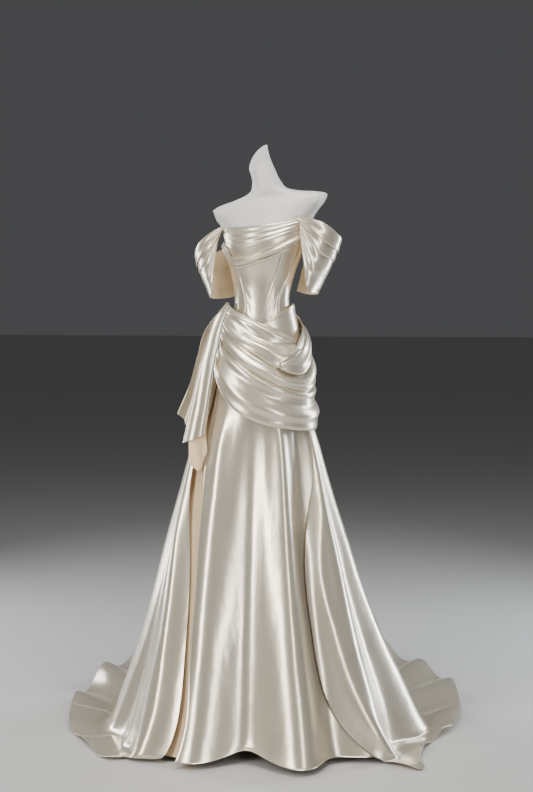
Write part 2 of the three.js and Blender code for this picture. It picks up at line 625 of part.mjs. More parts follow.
const DRAPE_PIECES = [
  { name: "hip_drape_lower", rows: DRAPE.lower, across: 28, down: 4, belly: 7 },
  { name: "hip_drape_middle", rows: DRAPE.middle, across: 22, down: 3, belly: 5 },
  { name: "hip_drape_upper", rows: DRAPE.upper, across: 12, down: 4, belly: 7 },
  { name: "hip_drape_cross", rows: DRAPE.cross, across: 14, down: 3, belly: 4 },
  { name: "hip_yoke", rows: DRAPE.yoke, across: 10, down: 2, belly: 0 },
];
for (const { name, rows, across, down, belly } of DRAPE_PIECES) {
  const surface = (angle, v) => {
    const at = (column) => track(rows, "angle", column, angle);
    const off = mix(at("offTop"), at("offLow"), v) + belly * Math.sin(Math.PI * v);
    return swept(skirtSection(angle, mix(at("top"), at("low"), v), off));
  };
  add(name, wall(surface, steps(rows[0].angle, rows[rows.length - 1].angle, across), steps(0, 1, down)), satin());
}

// ---------- Cascade ----------
// The end of the drape falls from the hip seam as two flaps and a tongue of their wrong side. The rows go down each
// one and give its outer and inner edge in the skirt's frame, and how far the middle is folded back.
const CASCADE = {
  back: [
    { t: 0, outX: -104, outY: -14, outZ: 1318, inX: -98, inY: 4, inZ: 1316, fold: 0 },
    { t: 0.22, outX: -170, outY: -6, outZ: 1237, inX: -142, inY: 12, inZ: 1232, fold: 4 },
    { t: 0.42, outX: -193, outY: -6, outZ: 1164, inX: -170, inY: 12, inZ: 1150, fold: 6 },
    { t: 0.7, outX: -220, outY: -6, outZ: 1068, inX: -196, inY: 8, inZ: 1040, fold: 8 },
    { t: 1, outX: -256, outY: -4, outZ: 985, inX: -226, inY: 0, inZ: 944, fold: 8 },
  ],
  front: [
    { t: 0, outX: -110, outY: -32, outZ: 1314, inX: -104, inY: -42, inZ: 1312, fold: 0 },
    { t: 0.12, outX: -142, outY: -34, outZ: 1272, inX: -130, inY: -58, inZ: 1246, fold: 3 },
    { t: 0.32, outX: -172, outY: -34, outZ: 1180, inX: -148, inY: -70, inZ: 1172, fold: 6 },
    { t: 0.5, outX: -191, outY: -44, outZ: 1112, inX: -160, inY: -84, inZ: 1104, fold: 8 },
    { t: 0.74, outX: -210, outY: -56, outZ: 1020, inX: -170, inY: -96, inZ: 1014, fold: 9 },
    { t: 1, outX: -236, outY: -66, outZ: 900, inX: -176, inY: -112, inZ: 930, fold: 9 },
  ],
  tongue: [
    { t: 0, outX: -196, outY: -43, outZ: 1000, inX: -159, inY: -83, inZ: 996, fold: 0 },
    { t: 0.5, outX: -217, outY: -58, outZ: 925, inX: -166, inY: -98, inZ: 935, fold: 2 },
    { t: 1, outX: -216, outY: -98, outZ: 852, inX: -162, inY: -124, inZ: 880, fold: 6 },
  ],
};
const TONGUE_POINT = 44; // how much lower the tongue's middle hangs than its corners
function flapSurface(rows, point) {
  return (u, t) => {
    const at = (column) => track(rows, "t", column, t);
    const p = new THREE.Vector3(
      mix(at("outX"), at("inX"), u),
      mix(at("outY"), at("inY"), u),
      mix(at("outZ"), at("inZ"), u),
    );
    const back = Math.sin(Math.PI * u) ** 2;
    p.z -= point * t ** 4 * Math.sin(Math.PI * u);
    return swept(p.add(new THREE.Vector3(0.5, 0.85, 0).multiplyScalar(at("fold") * back)));
  };
}
add("cascade_back", wall(flapSurface(CASCADE.back, 0), steps(0, 1, 3), steps(0, 1, 8)), satin());
add("cascade_front", wall(flapSurface(CASCADE.front, 0), steps(0, 1, 5), steps(0, 1, 9)), satin());
add("cascade_tongue", wall(flapSurface(CASCADE.tongue, TONGUE_POINT), steps(0, 1, 4), steps(0, 1, 6)), lining());

export default gown;
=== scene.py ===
# %% [markdown]
# # An ivory satin evening gown on a dress form
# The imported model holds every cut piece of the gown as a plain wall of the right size. Here each piece is
# made again as a fine sheet in the same place, with its folds, rolled edges and narrow hems, and gets its
# finish. Sizes are in millimetres, as a dressmaker would write them, and become metres when a mesh is
# made. The camera and the lights are placed in metres.

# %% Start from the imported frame
import math
import bmesh
import bpy
import numpy as np
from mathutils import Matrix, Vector


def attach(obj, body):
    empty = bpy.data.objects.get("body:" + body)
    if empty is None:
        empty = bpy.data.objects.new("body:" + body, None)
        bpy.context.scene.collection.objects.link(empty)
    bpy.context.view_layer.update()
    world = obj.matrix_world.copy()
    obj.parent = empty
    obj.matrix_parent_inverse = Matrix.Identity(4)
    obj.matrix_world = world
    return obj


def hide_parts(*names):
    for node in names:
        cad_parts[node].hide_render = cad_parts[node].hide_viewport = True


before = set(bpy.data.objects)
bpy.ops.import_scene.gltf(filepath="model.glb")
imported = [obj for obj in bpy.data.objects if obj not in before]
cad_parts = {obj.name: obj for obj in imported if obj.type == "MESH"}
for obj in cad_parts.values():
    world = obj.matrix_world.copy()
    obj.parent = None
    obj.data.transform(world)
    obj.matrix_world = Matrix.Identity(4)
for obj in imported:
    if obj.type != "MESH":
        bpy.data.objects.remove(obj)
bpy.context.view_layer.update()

MM = 0.001

# %% [markdown]
# ## Camera, floor and light
# The camera comes first, because every look at the work goes through it. It stands a little to the
# wearer's left of the front, just above waist height. Satin is judged by its highlights, so the light is
# soft but not even: a tall window-like panel at the front left, a weaker one at the right, a panel
# overhead, two tall ones behind for the rims and a low grey surround for the shadows.

# %% Camera, floor and light
AZIMUTH = math.radians(14)
RIGHT = Vector((math.cos(AZIMUTH), math.sin(AZIMUTH), 0))
AHEAD = Vector((-math.sin(AZIMUTH), math.cos(AZIMUTH), 0))


def place(obj, right, ahead, height, look_at):
    """Stand an object at a place given across and along the view, and turn its -Z towards a point."""
    obj.location = RIGHT * right + AHEAD * ahead + Vector((0, 0, height))
    obj.rotation_euler = (look_at - obj.location).to_track_quat("-Z", "Y").to_euler()
    bpy.context.collection.objects.link(obj)
    return obj


CAMERA_RIGHT, CAMERA_AHEAD, CAMERA_HEIGHT, AIM_HEIGHT = 0.0136, -4.2, 1.30, 1.036
LIGHTS_AIM = Vector((0, 0, 0.8))

camera = bpy.data.cameras.new("camera")
camera.lens = 63.1
camera.sensor_width = 36
camera.sensor_fit = "AUTO"
aim = RIGHT * CAMERA_RIGHT + Vector((0, 0, AIM_HEIGHT))
viewer = bpy.data.objects.new("camera", camera)
bpy.context.scene.camera = place(viewer, CAMERA_RIGHT, CAMERA_AHEAD, CAMERA_HEIGHT, aim)

# name, right, ahead, height, width, length, watts, colour
LIGHTS = [
    ("window", -2.2, -2.4, 1.9, 0.55, 2.6, 84, (1.0, 0.96, 0.89)),
    ("second_window", 1.5, -2.9, 1.6, 0.35, 2.6, 40, (1.0, 0.98, 0.94)),
    ("overhead", 0.1, -0.9, 3.4, 1.3, 1.0, 64, (1.0, 0.97, 0.92)),
    ("rim_left", -2.3, 1.6, 1.5, 0.5, 2.4, 56, (0.93, 0.96, 1.0)),
    ("rim_right", 2.4, 1.3, 1.3, 0.5, 2.4, 70, (0.88, 0.94, 1.0)),
]
for name, right, ahead, height, wide, tall, watts, colour in LIGHTS:
    lamp = bpy.data.lights.new(name, "AREA")
    lamp.shape, lamp.size, lamp.size_y = "RECTANGLE", wide, tall
    lamp.energy, lamp.color = watts, colour
    place(bpy.data.objects.new(name, lamp), right, ahead, height, LIGHTS_AIM)
world = bpy.data.worlds.new("surround")
world.use_nodes = True
surround = world.node_tree.nodes["Background"]
surround.inputs["Color"].default_value = (0.62, 0.63, 0.65, 1)
surround.inputs["Strength"].default_value = 0.11
bpy.context.scene.world = world
print("camera and", len(LIGHTS), "lights placed")

# %% [markdown]
# ## Shader maths
# A finish is a small sum of patterns. Written with Math nodes by hand it is unreadable, so a socket is
# wrapped in a class whose operators add those nodes, and one method makes every other node.

# %% Wrapper for shader sockets
class Value:
    """A node's output that Python's operators work on."""

    def __init__(self, net, socket):
        self.net = net
        self.socket = socket

    def __add__(self, other): return self.net.maths("ADD", self, other)
    def __radd__(self, other): return self.net.maths("ADD", other, self)
    def __sub__(self, other): return self.net.maths("SUBTRACT", self, other)
    def __rsub__(self, other): return self.net.maths("SUBTRACT", other, self)
    def __mul__(self, other): return self.net.maths("MULTIPLY", self, other)
    def __rmul__(self, other): return self.net.maths("MULTIPLY", other, self)


class Finish:
    """A material under construction."""

    def __init__(self, name):
        self.material = bpy.data.materials.new(name)
        self.material.use_nodes = True
        self.tree = self.material.node_tree
        self.tree.nodes.clear()

    def node(self, kind, settings=None, inputs=None, out=0):
        """Add a node: its settings first, then its inputs, and give back one output."""
        made = self.tree.nodes.new(kind)
        for key, value in (settings or {}).items():
            setattr(made, key, value)
        for key, value in (inputs or {}).items():
            if isinstance(value, Value):
                self.tree.links.new(value.socket, made.inputs[key])
            else:
                made.inputs[key].default_value = value
        return Value(self, made.outputs[out]) if len(made.outputs) else made

    def maths(self, operation, a, b):
        """One Math node on two values."""
        return self.node("ShaderNodeMath", {"operation": operation}, {0: a, 1: b})

    def noise(self, where, scale, detail=2.0, stretch=(1, 1, 1)):
        """Noise at a place, after the place is multiplied by a stretch along each axis."""
        turned = self.node("ShaderNodeMapping", {}, {"Vector": where, "Scale": stretch})
        return self.node("ShaderNodeTexNoise", {}, {"Vector": turned, "Scale": scale, "Detail": detail})

    def blend(self, factor, a, b):
        """Mix two colours."""
        mixer = self.tree.nodes.new("ShaderNodeMix")
        mixer.data_type = "RGBA"
        for index, value in ((0, factor), (6, a), (7, b)):
            if isinstance(value, Value):
                self.tree.links.new(value.socket, mixer.inputs[index])
            else:
                mixer.inputs[index].default_value = value
        return Value(self, mixer.outputs[2])

    def finish(self, **inputs):
        """End in one Principled shader, with sockets named by words joined with _."""
        named = {key.replace("_", " "): value for key, value in inputs.items()}
        shader = self.node("ShaderNodeBsdfPrincipled", {}, named)
        self.node("ShaderNodeOutputMaterial", {}, {"Surface": shader})
        return self.material


print("shader helpers ready")

# %% [markdown]
# ## Finishes
# Duchess satin is a dense weave whose long floats lie one way: it is smooth and softly glossy, and its
# highlight is drawn out across the floats, which is what anisotropy does. Small relaxed wrinkles keep it
# from looking like plastic. The weave follows the piece's own UV map, laid out in metres. The wrong side
# is matt and honey-coloured.

# %% Satin, wrong side, lining, form and metal
def satin(name, light, shade, rough, gloss):
    """Colour wanders slowly between two creams; bump = weave of floats + relaxed wrinkles of two sizes."""
    f = Finish(name)
    spot = f.node("ShaderNodeTexCoord", out=3)
    threads = f.node("ShaderNodeUVMap")
    slow = f.noise(spot, 3.2, 2.0)
    wrinkle = f.noise(spot, 13.0, 3.0, (1, 1, 0.38))
    crease = f.noise(spot, 46.0, 2.0, (1, 1, 0.45))
    floats = f.noise(threads, 1.0, 1.0, (2600, 520, 1))
    height = wrinkle + crease * 0.22 + floats * 0.012
    bump = f.node("ShaderNodeBump", {}, {"Height": height, "Strength": 0.55, "Distance": 0.0035})
    return f.finish(
        Base_Color=f.blend(slow, (*light, 1), (*shade, 1)),
        Roughness=rough + (slow - 0.5) * 0.10 + floats * 0.04,
        Normal=bump, Metallic=0.66, Anisotropic=gloss, Sheen_Weight=0.08, Sheen_Roughness=0.4)


def matt_cloth(name, light, shade):
    """Colour wanders between two browns; bump = a fine plain weave."""
    f = Finish(name)
    spot = f.node("ShaderNodeTexCoord", out=3)
    threads = f.node("ShaderNodeUVMap")
    slow = f.noise(spot, 6.0, 2.0)
    weave = f.noise(threads, 1.0, 1.0, (1500, 1500, 1))
    bump = f.node("ShaderNodeBump", {}, {"Height": weave * 0.1 + slow, "Strength": 0.4, "Distance": 0.003})
    return f.finish(
        Base_Color=f.blend(slow, (*light, 1), (*shade, 1)), Roughness=0.62 + (weave - 0.5) * 0.12,
        Normal=bump, Sheen_Weight=0.2)


def painted(name, light, shade, rough, metal, stretch):
    """Colour and roughness follow one noise, stretched along the tool's or the brush's way."""
    f = Finish(name)
    spot = f.node("ShaderNodeTexCoord", out=3)
    mottle = f.noise(spot, 18.0, 4.0, stretch)
    bump = f.node("ShaderNodeBump", {}, {"Height": mottle, "Strength": 0.12, "Distance": 0.001})
    return f.finish(
        Base_Color=f.blend(mottle, (*light, 1), (*shade, 1)), Roughness=rough + (mottle - 0.5) * 0.12,
        Metallic=metal, Normal=bump)


SATIN = satin("ivory_satin", (0.85, 0.775, 0.63), (0.74, 0.675, 0.55), 0.235, 0.35)
WRONG_SIDE = matt_cloth("satin_wrong_side", (0.74, 0.60, 0.40), (0.60, 0.46, 0.29))
LINING = matt_cloth("honey_lining", (0.88, 0.68, 0.43), (0.74, 0.55, 0.33))
SHELL = painted("matt_white_shell", (0.66, 0.655, 0.64), (0.60, 0.595, 0.58), 0.42, 0.0, (1, 1, 1))
METAL = painted("brushed_metal", (0.66, 0.67, 0.68), (0.50, 0.51, 0.52), 0.30, 1.0, (1, 1, 30))
FLOOR = painted("pale_floor", (0.60, 0.60, 0.60), (0.57, 0.57, 0.57), 0.55, 0.0, (0.1, 0.1, 0.1))

FLOOR_REACH, FLOOR_HEIGHT = 60.0, -0.0005
ways = ((-1, -1), (1, -1), (1, 1), (-1, 1))
corners = [(x * FLOOR_REACH, y * FLOOR_REACH, FLOOR_HEIGHT) for x, y in ways]
floor_mesh = bpy.data.meshes.new("floor")
floor_mesh.from_pydata(corners, [], [(0, 1, 2, 3)])
floor_mesh.materials.append(FLOOR)
floor = bpy.data.objects.new("floor", floor_mesh)
bpy.context.collection.objects.link(floor)
print("six finishes and the floor made")

# %% [markdown]
# ## Sheets
# Every cloth piece is a grid of points worked out by a formula of two numbers: u runs towards the
# wearer's left past the front, and v runs down. Rows crowd together near the edges, where a narrow hem
# needs them. Solidify then gives the sheet its thickness inwards, so the outer face stays where the
# formula put it, and paints the inner one with the wrong side's finish. The cut is measured on the sheet
# itself: its longest row, its longest column and its area. The grids' sizes keep all the pieces together
# under a million triangles.

# %% Helpers for tables and sheets
def table(names, text):
    """Columns of a table written as text, by name."""
    rows = np.array([[float(word) for word in line.split()] for line in text.strip().splitlines()])
    return dict(zip(names.split(), rows.T))


def track(rows, along, column, at):
    """A smooth curve through a table: cubics whose slope at a row is the mean of its neighbours'."""
    x, y = rows[along], rows[column]
    at = np.clip(at, x[0], x[-1])
    i = np.clip(np.searchsorted(x, at, side="right") - 1, 0, len(x) - 2)
    slope = np.diff(y) / np.diff(x)
    middle = (slope[1:] + slope[:-1]) / 2
    start = np.concatenate([slope[:1], middle])
    end = np.concatenate([middle, slope[-1:]])
    span = x[i + 1] - x[i]
    t = (at - x[i]) / span
    return ((2 * t**3 - 3 * t**2 + 1) * y[i] + (t**3 - 2 * t**2 + t) * span * start[i]
            + (3 * t**2 - 2 * t**3) * y[i + 1] + (t**3 - t**2) * span * end[i])


def ease(low, high, at):
    """0 below the first value, 1 above the second, and an S curve between."""
    t = np.clip((at - low) / (high - low), 0, 1)
    return t * t * (3 - 2 * t)


def mix(a, b, t):
    """The first value at 0, the second at 1, and a straight line between."""
    return a + (b - a) * t


def hump(at, middle, width):
    """A bell: e to the minus square of the distance in widths."""
    return np.exp(-(((at - middle) / width) ** 2))


def grid(across, down):
    """u and v from 0 to 1 as whole arrays, spaced as a cosine, so that both ends are fine."""
    u, v = (0.5 - 0.5 * np.cos(np.pi * np.arange(n + 1) / n) for n in (across, down))
    return np.meshgrid(u, v, indexing="ij")


def points(x, y, z):
    """Three arrays joined as the coordinates of points."""
    return np.stack(np.broadcast_arrays(x, y, z), -1)


def arc(places, axis):
    """Length along one axis of a grid, added up from its first point."""
    step = np.linalg.norm(np.diff(places, axis=axis), axis=-1)
    pad = [(1, 0), (0, 0)] if axis == 0 else [(0, 0), (1, 0)]
    return np.pad(np.cumsum(step, axis=axis), pad)


def finish_piece(obj, node):
    """Put a piece in the scene in place of its node."""
    bpy.context.collection.objects.link(obj)
    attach(obj, "root")
    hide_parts(node)


def sheet(name, node, places, outside=None, inside=None, thick=1.5):
    """Make a cloth piece from a grid of places in millimetres."""
    places = places * MM
    nu, nv = places.shape[:2]
    index = np.arange(nu * nv).reshape(nu, nv)
    faces = np.stack([index[:-1, :-1], index[:-1, 1:], index[1:, 1:], index[1:, :-1]], -1).reshape(-1, 4)
    mesh = bpy.data.meshes.new(name)
    mesh.from_pydata(places.reshape(-1, 3).tolist(), [], faces.tolist())
    mesh.materials.append(outside or SATIN)
    mesh.materials.append(inside or WRONG_SIDE)
    along, down = arc(places, 0), arc(places, 1)
    uv = np.stack([along, down], -1).reshape(-1, 2)
    mesh.uv_layers.new(name="UVMap").data.foreach_set("uv", uv[faces.reshape(-1)].ravel())
    mesh.polygons.foreach_set("use_smooth", np.ones(len(faces), dtype=bool))
    piece = bpy.data.objects.new(name, mesh)
    wall = piece.modifiers.new("thickness", "SOLIDIFY")
    wall.thickness = thick * MM
    wall.offset = -1
    wall.use_quality_normals = False
    wall.material_offset = 1
    finish_piece(piece, node)
    a = places[1:, :-1] - places[:-1, 1:]
    b = places[1:, 1:] - places[:-1, :-1]
    area = float(np.linalg.norm(np.cross(a, b), axis=-1).sum() / 2)
    wide, long = float(along[-1].max()), float(down[:, -1].max())
    area = min(area, wide * long)
    print(f"{name}: cut {wide:.2f} x {long:.2f} m, {area:.3f} square metres, {len(faces)} faces")


# %% [markdown]
# ## The dress form
# A display form is a shell pulled from a mould: level sections that swell and narrow smoothly, cut off
# square at the arms and on a slant at the neck. A grid of sections is closed at the foot, and three
# planes trim it and leave crisp rims. Above the waist it leans to its left, with that shoulder raised.

# %% The figure's sections and pose
FORM = table("z half front back", """
1000 112 78 94
1060 115 80 98
1140 109 78 92
1220 97 73 79
1300 80 66 66
1335 78 66 64
1400 91 76 70
1450 105 95 76
1490 114 104 80
1535 128 90 84
1575 152 70 84
1602 176 56 76
1618 180 46 64
1629 150 40 54
1638 104 40 48
1650 64 42 46
1675 44 41 42
1720 38 38 38
1810 37 38 38
""")
LEAN, SHOULDER_TILT, NECK_LEAN = 20, 0.13, -42


def posed(p, height=None):
    """Lean to the left above the waist, raise the left shoulder, and take the neck to the right."""
    x, y, z = p[..., 0], p[..., 1], p[..., 2]
    height = z if height is None else height
    share = ease(1330, 1600, height)
    neck = ease(1640, 1800, height)
    return points(x + LEAN * share + NECK_LEAN * neck, y, z + SHOULDER_TILT * share * x * (1 - neck))


def figure(angle, z, off):
    """An ellipse at each height, with its own depth in front and behind, standing off by a distance."""
    a = np.radians(angle)
    half = track(FORM, "z", "half", z)
    deep = np.where(np.cos(a) > 0, track(FORM, "z", "front", z), track(FORM, "z", "back", z))
    return points((half + off) * np.sin(a), -(deep + off) * np.cos(a), z)


# %% Dress form
AROUND = 144
RING_HEIGHTS = np.concatenate([np.linspace(1000, 1560, 70), np.linspace(1564, 1810, 90)])
# each cut: a point on the plane and the way that is thrown off
ARM_CUTS = [((s * 168, -10, 1612), (s * 0.908, -0.243, -0.342)) for s in (1, -1)]
NECK_CUT = ((0, 0, 1752), (-0.52, -0.5, 0.66))
ABOVE_FOOT = 1010
SHARP_ANGLE = math.radians(40)


def dress_form():
    """Rings of the figure, trimmed by planes, then posed."""
    angle, z = np.meshgrid(np.arange(AROUND) * 360 / AROUND, RING_HEIGHTS, indexing="ij")
    rings = figure(angle, z, 0)
    index = np.arange(AROUND * len(RING_HEIGHTS)).reshape(AROUND, -1)
    ahead = np.roll(index, -1, axis=0)
    faces = np.stack([index[:, :-1], ahead[:, :-1], ahead[:, 1:], index[:, 1:]], -1).reshape(-1, 4)
    mesh = bpy.data.meshes.new("dress_form")
    mesh.from_pydata(rings.reshape(-1, 3).tolist(), [], faces.tolist())
    work = bmesh.new()
    work.from_mesh(mesh)
    for at, way in (*ARM_CUTS, NECK_CUT):
        everything = work.verts[:] + work.edges[:] + work.faces[:]
        bmesh.ops.bisect_plane(work, geom=everything, plane_co=at, plane_no=way, clear_outer=True)
        rim = [e for e in work.edges if e.is_boundary and e.verts[0].co.z > ABOVE_FOOT]
        bmesh.ops.holes_fill(work, edges=rim, sides=0)
    bmesh.ops.holes_fill(work, edges=[e for e in work.edges if e.is_boundary], sides=0)
    bmesh.ops.recalc_face_normals(work, faces=work.faces[:])
    work.to_mesh(mesh)
    work.free()
    place_array = np.empty(len(mesh.vertices) * 3)
    mesh.vertices.foreach_get("co", place_array)
    mesh.vertices.foreach_set("co", (posed(place_array.reshape(-1, 3)) * MM).ravel())
    mesh.materials.append(SHELL)
    mesh.shade_smooth()
    mesh.set_sharp_from_angle(angle=SHARP_ANGLE)
    form = bpy.data.objects.new("dress_form", mesh)
    finish_piece(form, "form_torso")
    return form


form = dress_form()
for node in ("form_pole", "form_base"):
    metal_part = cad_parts[node]
    metal_part.data.materials.clear()
    metal_part.data.materials.append(METAL)
print("dress form:", len(form.data.polygons), "faces; pole and base finished")

# %% [markdown]
# ## Bodice
# The corset is cut in seven panels that close in at the waist. Each seam is two edges that turn in, so a
# panel sinks slightly along its edges and catches the light along a line of stitching beside the seam.
# Small pulls slant in from the seams at the waist, where the cloth is tight.

# %% Bodice panels
BODICE_SEAMS = table("z front side back", """
1232 25 50 106
1310 22.5 47 104
1410 36 68 112
1520 44 76 118
""")
BODICE_TOP = table("angle z", """
0 1520
40 1522
70 1506
110 1496
180 1470
""")
WAIST_SEAM, SEAM, BODICE_EASE = 1232, 0.3, 5
MIDDLE_HEIGHT = 1400.0
EDGES = {"middle": 0, "end": 180}


def seam_at(name, z):
    """A seam's angle at each height; the middle and the end are straight."""
    return EDGES[name] + 0 * z if name in EDGES else track(BODICE_SEAMS, "z", name, z)


def bodice_panel(side, near, far):
    """Between two seams: sunk at the edges, raised at the stitching, pulled at the waist."""
    u, v = grid(42, 76)
    if near == "middle":
        u = u * 2 - 1
    share = np.abs(u)
    guess = np.abs(mix(seam_at(near, MIDDLE_HEIGHT), seam_at(far, MIDDLE_HEIGHT), share))
    z = mix(track(BODICE_TOP, "angle", "z", guess), WAIST_SEAM + SEAM, v)
    gap = 60 * SEAM / (track(FORM, "z", "half", z) + BODICE_EASE)
    inner = seam_at(near, z) + (0 if near == "middle" else gap)
    angle = u * (seam_at(far, z) - gap) if near == "middle" else mix(inner, seam_at(far, z) - gap, u)
    from_seam = (1 - np.abs(u)) if near == "middle" else np.minimum(u, 1 - u)
    width = np.radians(seam_at(far, z) - (0 if near == "middle" else seam_at(near, z))) * 95
    distance = from_seam * width
    off = BODICE_EASE - 1.3 * hump(distance, 0, 1.6) + 0.5 * hump(distance, 5, 2.2)
    slant = z - 1290 + 60 * from_seam
    off = off + 0.5 * hump(z, 1300, 42) * np.sin(slant / 6.5) * hump(distance, 9, 9)
    off = off + 0.4 * hump(z, 1345, 30) * np.sin((z + 40 * from_seam) / 9.0) * hump(distance, 12, 12)
    places = posed(figure(side * angle, z, off))
    return places if side > 0 else places[::-1]


sheet("bodice_front_panel", "bodice_front", bodice_panel(1, "middle", "front"))
BODICE_PIECES = [("side_front", "front", "side"), ("side", "side", "back"), ("back", "back", "end")]
for word, side in (("left", 1), ("right", -1)):
    for node, near, far in BODICE_PIECES:
        places = bodice_panel(side, near, far)
        sheet(f"bodice_{node}_panel_{word}", f"bodice_{node}_{word}", places)

# %% [markdown]
# ## Draped neckline
# Three swags hang between the gathers at the sides of the bust. A hanging fold is round at the bottom and
# opens at the top, and finer folds run along it and close up towards the gathers. So each swag is a band
# with a rolled lower edge and listed ridges that run its length, deeper in the middle.

# %% Neckline swags
NECKLINE = table("angle neck pocket lap rim", """
-68 1530 1514 1504 1494
-55 1548 1488 1466 1446
-42 1553 1462 1440 1425
-15 1547 1456 1438 1425
15 1545 1476 1456 1439
42 1549 1499 1478 1458
58 1552 1511 1494 1474
70 1546 1522 1508 1488
""")
# name, upper edge, lower edge, reach, off at top, off below, opening, roll, ridges as (v, width, height)
SWAGS = [
    ("upper", "neck", "pocket", -8, 9, 9, 0, 3.0, [
        (0.04, 0.03, 2.4), (0.20, 0.05, 4.2), (0.40, 0.05, 3.6), (0.56, 0.045, 3.0)]),
    ("middle", "pocket", "lap", -6, 13, 22, 9, 7.0, [(0.30, 0.12, -4.0), (0.62, 0.14, 3.4)]),
    ("lower", "lap", "rim", 0, 13.5, 16.5, 0, 5.0, [(0.30, 0.12, -2.0), (0.62, 0.14, 2.2)]),
]


def rolled(v, depth):
    """A lower edge that turns in: a quarter circle over the last tenth."""
    t = np.clip((v - 0.9) / 0.1, 0, 1)
    return -depth * (1 - np.sqrt(np.maximum(0, 1 - t * t)))


for name, top, low, reach, off_top, off_low, opening, roll, ridges in SWAGS:
    u, v = grid(140, 46)
    angle = mix(-67, 69, u)
    z = mix(track(NECKLINE, "angle", top, angle), track(NECKLINE, "angle", low, angle) + reach, v)
    middle = np.cos(np.radians((angle + 8) * 1.15)) ** 2
    off = mix(off_top, off_low, v) + opening * middle * (1 - v) ** 2 + rolled(v, roll)
    for at, wide, tall in ridges:
        lean = 0.06 * np.sin(np.pi * u) - 0.05 * u
        off = off + tall * hump(v, at + lean, wide) * (0.45 + 0.55 * np.sin(np.pi * u))
    off = off + 1.4 * (hump(u, 0, 0.07) + hump(u, 1, 0.07)) * np.sin(v * 26)
    sheet(f"neckline_{name}", f"neckline_swag_{name}", posed(figure(angle, z, off)))

# %% [markdown]
# ## Off-shoulder sleeves
# Each sleeve is one wide band with two pleats laid over its upper part. It is gathered into the side of
# the neckline, so the folds fan out from there and fade as the band goes round the arm, then close again
# at the back.

# %% Sleeves
SLEEVE = table("s topX topY topZ lowX lowY lowZ", """
0.0 112 -72 1562 125 -64 1522
0.12 150 -66 1548 137 -70 1440
0.26 191 -50 1522 148 -64 1352
0.42 215 -16 1490 164 -24 1342
0.5 217 6 1481 166 2 1339
0.66 202 42 1484 152 38 1337
0.84 162 68 1500 118 56 1340
1.0 120 60 1512 90 50 1350
""")


# the arm's middle line, how far the band swells, and the heights whose pose carries its two edges
ARM_MIDDLE, SLEEVE_BELLY, CARRIED_TOP, CARRIED_LOW = 150, 7, 1540, 1430


def sleeve(side, off, share, down, seed):
    """Between the band's two edges: a belly between them, and folds that fan out from the gather."""
    u, v = grid(104, down)
    top, low = (points(*(track(SLEEVE, "s", edge + axis, u) for axis in "XYZ")) for edge in ("top", "low"))
    p = mix(top, low, (v * share)[..., None])
    out = p - np.array([ARM_MIDDLE, 0, 0])
    out[..., 2] = 0
    out /= np.linalg.norm(out, axis=-1, keepdims=True)
    fan = hump(u, 0, 0.26) + 0.8 * hump(u, 1, 0.22)
    folds = 3.4 * fan * np.sin(v * share * 30 + seed)
    folds = folds + 2.2 * np.sin(np.pi * u) * np.sin(v * share * 11 + 4 * u + seed)
    edge = -1.6 * hump(v, 1, 0.04) if share < 1 else 0.8 * hump(v, 1, 0.012)
    belly = SLEEVE_BELLY * np.sin(np.pi * v * share) * np.sin(np.pi * u)
    p = p + out * (belly + off + 0.55 * folds * np.sin(np.pi * v) + edge)[..., None]
    p[..., 0] *= side
    places = posed(p, mix(CARRIED_TOP, CARRIED_LOW, v * share))
    return places if side > 0 else places[::-1]


for word, side in (("left", 1), ("right", -1)):
    sheet(f"sleeve_band_{word}", f"sleeve_{word}_band", sleeve(side, 0, 1.0, 120, 0.5))
    for pleat, share, off in (("upper", 0.24, 9), ("lower", 0.42, 4.5)):
        places = sleeve(side, off, share, 50, 2.0 * share)
        sheet(f"sleeve_pleat_{pleat}_{word}", f"sleeve_{word}_pleat_{pleat}", places)

# %% [markdown]
# ## Skirt and train
# The skirt is a flared tube of panels whose folds start below the hip and deepen towards the floor. Where
# the wall meets the floor the cloth turns and runs outwards as the train, which lifts in flutes at its
# hem. The turn is the logarithm of a sum of exponentials, which is smooth and never dips below the floor.
# Edges at the slit and the lap roll under, with a ridge just inside them.

# %% The skirt's surface
SKIRT = table("z left right front back", """
0 470 452 372 600
150 408 400 330 500
294 345 356 292 420
440 291 320 256 352
585 248 287 220 294
730 205 250 184 238
876 168 213 152 188
940 152 192 140 166
1000 144 172 131 150
1100 134 146 118 128
1160 123 130 107 114
1232 108 108 87 94
1290 95 95 80 82
1330 90 90 76 76
""")
HEM = table("angle reach", """
-190 1250
-165 1090
-150 950
-130 800
-108 668
-85 570
-70 536
-53 518
-44 470
-34 420
0 388
36 480
44 576
55 524
75 522
92 594
113 735
135 880
152 1040
170 1190
190 1255
""")
FOLDS = table("top hem width start end", """
-38 -25 9 6 28
-8 -7 11 -3 -58
20 14 9 9 58
44 27 8 -4 -18
62 43 9 10 40
82 66 11 -5 -38
98 92 11 5 34
118 112 10 -6 -36
136 131 11 10 46
156 152 11 -6 -40
176 177 12 9 52
197 201 11 -6 -42
216 223 11 8 46
235 243 10 -7 -34
252 262 10 6 34
270 283 11 -5 -30
291 312 9 8 36
""")
RIPPLES = table("angle width rise", """
-178 7 62
-160 6 62
-143 6 70
-127 6 58
-110 6 36
-93 5 18
84 5 16
100 5 36
116 6 40
132 6 60
149 6 70
166 6 62
""")
SWEEP = math.radians(14)
CLOTH, FLOOR_CLEAR, HEM_ROLL, FOLDS_FROM, TRAIN_DROP = 2, 0.4, 24, 1020, 300


